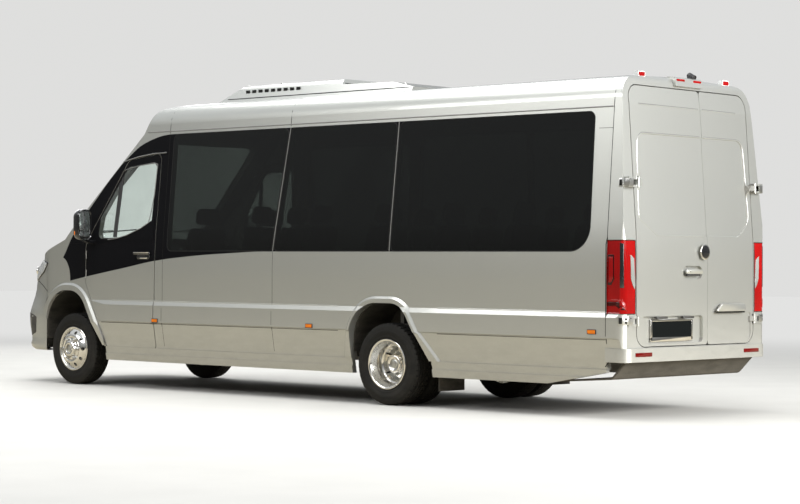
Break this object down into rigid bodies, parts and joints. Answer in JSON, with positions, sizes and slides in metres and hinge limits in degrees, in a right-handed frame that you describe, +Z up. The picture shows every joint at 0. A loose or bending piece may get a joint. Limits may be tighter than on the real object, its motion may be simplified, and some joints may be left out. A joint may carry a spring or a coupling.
{
  "type": "minibus",
  "caption": "Long high-roof minibus with glazed sides, twin rear doors, cab doors, lifting bonnet, roof air unit, steered front wheels and twin rear wheels.",
  "frame": {"origin": "on the ground under the middle of the bounding box", "axes": "+X forwards, +Y to the left, +Z up"},
  "size_m": [7.8898, 2.4228, 2.898],
  "materials": {
    "silver_paint": "metallic silver paint",
    "grey_paint": "dark underbody paint",
    "black_plastic": "grained black plastic",
    "clear_glass": "clear safety glass",
    "privacy_glass": "dark privacy glass",
    "red_lens": "red lamp lens",
    "amber_lens": "amber lamp lens",
    "clear_lens": "clear lamp lens over a bright reflector",
    "tyre_rubber": "tyre rubber",
    "wheel_steel": "bright wheel steel",
    "axle_steel": "black painted casting",
    "flap_rubber": "moulded rubber",
    "seat_fabric": "woven seat cover",
    "floor_cover": "floor covering on steel",
    "white_plate": "blank plate",
    "exhaust_steel": "dull steel"
  },
  "bodies": {
    "body": {"cab_frame": "silver_paint", "cab_seats": "seat_fabric", "chassis_frame": "grey_paint", "dashboard": "black_plastic", "engine_block": "axle_steel", "exhaust": "exhaust_steel", "floor_pan": "floor_cover", "front_axle": "axle_steel", "front_bumper": "silver_paint", "front_wings": "silver_paint", "fuel_tank": "black_plastic", "grille": "black_plastic", "headlamps": "clear_lens", "leaf_springs": "grey_paint", "mud_flaps": "flap_rubber", "passenger_seats": "seat_fabric", "propeller_shaft": "grey_paint", "rear_axle": "axle_steel", "rear_bumper": "silver_paint", "rear_camera": "black_plastic", "rear_frame": "silver_paint", "rear_valance": "silver_paint", "roof_air_unit": "silver_paint", "roof_marker_lamps": "amber_lens", "roof_panel": "silver_paint", "side_glass_left": "privacy_glass", "side_glass_right": "privacy_glass", "side_marker_lamps": "amber_lens", "side_skirts": "silver_paint", "side_wall_left": "silver_paint", "side_wall_right": "silver_paint", "sliding_door": "silver_paint", "steering_wheel": "black_plastic", "tail_lamps": "red_lens", "wheel_housings": "black_plastic", "windscreen": "clear_glass"},
    "bonnet_lid": {"bonnet": "silver_paint"},
    "cab_door_left": {"driver_door": "silver_paint", "driver_door_glass": "clear_glass", "mirror_left": "black_plastic"},
    "cab_door_right": {"passenger_door": "silver_paint", "passenger_door_glass": "clear_glass", "mirror_right": "black_plastic"},
    "rear_left_door": {"rear_door_left": "silver_paint", "number_plate": "white_plate"},
    "rear_right_door": {"rear_door_right": "silver_paint"},
    "knuckle_front_left": {"knuckle_left": "axle_steel"},
    "knuckle_front_right": {"knuckle_right": "axle_steel"},
    "wheel_front_left": {"tyre_front_left": "tyre_rubber", "rim_front_left": "wheel_steel"},
    "wheel_front_right": {"tyre_front_right": "tyre_rubber", "rim_front_right": "wheel_steel"},
    "wheels_rear_left": {"tyres_rear_left": "tyre_rubber", "rims_rear_left": "wheel_steel"},
    "wheels_rear_right": {"tyres_rear_right": "tyre_rubber", "rims_rear_right": "wheel_steel"}
  },
  "joints": [
    {"name": "bonnet_hinge", "type": "hinge", "parent": "body", "child": "bonnet_lid", "pos_m": [3.208, 0, 1.444], "axis": [0, -1, 0], "range_deg": [0, 60]},
    {"name": "driver_door_hinge", "type": "hinge", "parent": "body", "child": "cab_door_left", "pos_m": [2.714, 0.986, 1.15], "axis": [0, 0, -1], "range_deg": [0, 70]},
    {"name": "passenger_door_hinge", "type": "hinge", "parent": "body", "child": "cab_door_right", "pos_m": [2.714, -0.986, 1.15], "axis": [0, 0, 1], "range_deg": [0, 70]},
    {"name": "rear_left_door_hinge", "type": "hinge", "parent": "body", "child": "rear_left_door", "pos_m": [-3.931, 0.814, 1.3], "axis": [0, 0, -1], "range_deg": [0, 180]},
    {"name": "rear_right_door_hinge", "type": "hinge", "parent": "body", "child": "rear_right_door", "pos_m": [-3.931, -0.814, 1.3], "axis": [0, 0, 1], "range_deg": [0, 180]},
    {"name": "steering_left", "type": "hinge", "parent": "body", "child": "knuckle_front_left", "pos_m": [2.941, 0.76, 0.355], "axis": [0, 0, 1], "range_deg": [-35, 35]},
    {"name": "steering_right", "type": "hinge", "parent": "body", "child": "knuckle_front_right", "pos_m": [2.941, -0.76, 0.355], "axis": [0, 0, 1], "range_deg": [-35, 35]},
    {"name": "front_left_wheel_spin", "type": "hinge", "parent": "knuckle_front_left", "child": "wheel_front_left", "pos_m": [2.941, 0.8525, 0.355], "axis": [0, 1, 0], "continuous": true},
    {"name": "front_right_wheel_spin", "type": "hinge", "parent": "knuckle_front_right", "child": "wheel_front_right", "pos_m": [2.941, -0.8525, 0.355], "axis": [0, 1, 0], "continuous": true},
    {"name": "rear_left_wheels_spin", "type": "hinge", "parent": "body", "child": "wheels_rear_left", "pos_m": [-1.384, 0.7675, 0.355], "axis": [0, 1, 0], "continuous": true},
    {"name": "rear_right_wheels_spin", "type": "hinge", "parent": "body", "child": "wheels_rear_right", "pos_m": [-1.384, -0.7675, 0.355], "axis": [0, 1, 0], "continuous": true}
  ],
  "couplings": [
    {"joint": "steering_right", "follows": "steering_left", "ratio": 1}
  ]
}
